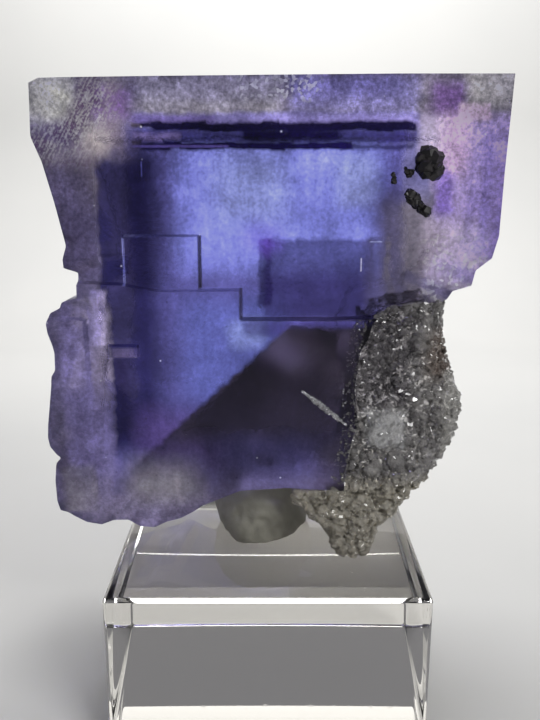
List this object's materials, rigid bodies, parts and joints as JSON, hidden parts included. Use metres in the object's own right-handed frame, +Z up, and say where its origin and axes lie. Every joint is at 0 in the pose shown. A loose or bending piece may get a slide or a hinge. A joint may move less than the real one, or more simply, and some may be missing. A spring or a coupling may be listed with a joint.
{
  "type": "fluorite cube specimen on display block",
  "caption": "Blue-violet fluorite cube with stepped faces, octahedral cleavage and a quartz crust, held by mineral tack on a clear block.",
  "frame": {"origin": "middle of the clear block's underside", "axes": "+Z up; the crystal's front cube face looks along -Y; +X to the right seen from the front"},
  "size_m": [0.0419, 0.031, 0.0605],
  "materials": {
    "fluorite": "clear crystal, zoned from grey violet to deep blue violet",
    "quartz": "clear to frosty small crystals",
    "dark_ore": "dull black with a faint lustre",
    "tack": "soft grey olive putty, pressed by hand",
    "acrylic": "polished, with fine scratches"
  },
  "bodies": {
    "root": {"fluorite_crystal": "fluorite", "quartz_crust": "quartz", "dark_grain_large": "dark_ore", "dark_grain_lower": "dark_ore", "dark_grain_side": "dark_ore", "dark_grain_tiny": "dark_ore", "mineral_tack": "tack", "acrylic_block": "acrylic"}
  },
  "joints": []
}
